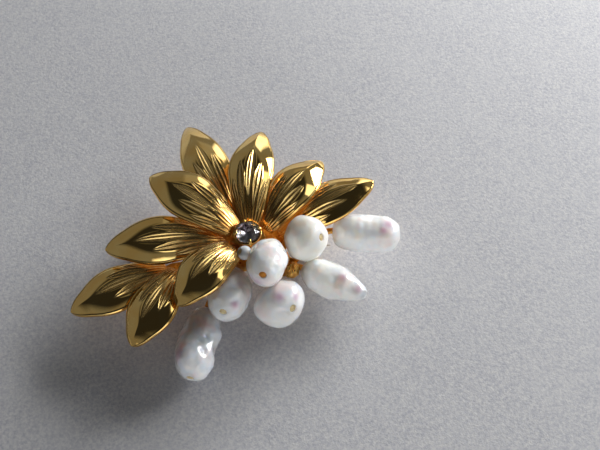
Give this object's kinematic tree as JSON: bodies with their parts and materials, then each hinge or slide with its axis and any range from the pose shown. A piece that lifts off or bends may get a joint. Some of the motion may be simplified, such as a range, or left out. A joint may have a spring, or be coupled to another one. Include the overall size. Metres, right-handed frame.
{
  "type": "brooch",
  "caption": "Leaf spray brooch with baroque pearls on posts, a prong-set rhinestone, and a hinged pin with a rollover safety catch on the back.",
  "frame": {"origin": "middle of the pin stem's free stretch, on the stem's axis, with the pin closed", "axes": "+X along the pin stem from its hinge to its catch, which is to the right seen from the front; +Y towards the top of the spray; +Z out of the front, away from the wearer"},
  "size_m": [0.0438, 0.0388, 0.0123],
  "materials": {
    "polished_gold": "polished gold plating on stamped brass",
    "cast_gold": "gold plating on textured cast and drawn brass",
    "nacre": "satin nacre of freshwater pearls",
    "rhinestone": "clear faceted glass with a foiled back",
    "pin_metal": "gold plating on a stamped and drawn pin finding"
  },
  "bodies": {
    "brooch": {"leaf_1": "polished_gold", "leaf_2": "polished_gold", "leaf_3": "polished_gold", "leaf_4": "polished_gold", "leaf_5": "polished_gold", "leaf_6": "polished_gold", "leaf_7": "polished_gold", "leaf_8": "polished_gold", "leaf_9": "polished_gold", "pearl_1": "nacre", "pearl_2": "nacre", "pearl_3": "nacre", "pearl_4": "nacre", "pearl_5": "nacre", "pearl_6": "nacre", "pearl_7": "nacre", "pearl_8": "nacre", "pearl_post_1": "cast_gold", "pearl_post_2": "cast_gold", "pearl_post_3": "cast_gold", "pearl_post_4": "cast_gold", "pearl_post_5": "cast_gold", "pearl_post_6": "cast_gold", "pearl_post_7": "cast_gold", "pearl_post_8": "cast_gold", "hub_plate": "cast_gold", "hub_collar": "cast_gold", "spray_stem": "cast_gold", "cluster_plate": "cast_gold", "stone_cup": "polished_gold", "rhinestone": "rhinestone", "pin_bar": "pin_metal", "hinge_bracket": "pin_metal", "hinge_rivet": "pin_metal", "catch_body": "pin_metal"},
    "pin": {"pin_stem": "pin_metal"},
    "rotor": {"catch_rotor": "pin_metal"}
  },
  "joints": [
    {"name": "pin_hinge", "type": "hinge", "parent": "brooch", "child": "pin", "pos_m": [-0.0114, 0, 0], "axis": [0, 1, 0], "range_deg": [0, 80]},
    {"name": "rotor_turn", "type": "hinge", "parent": "brooch", "child": "rotor", "pos_m": [0.011, 0, 0], "axis": [1, 0, 0], "range_deg": [0, 160]}
  ]
}
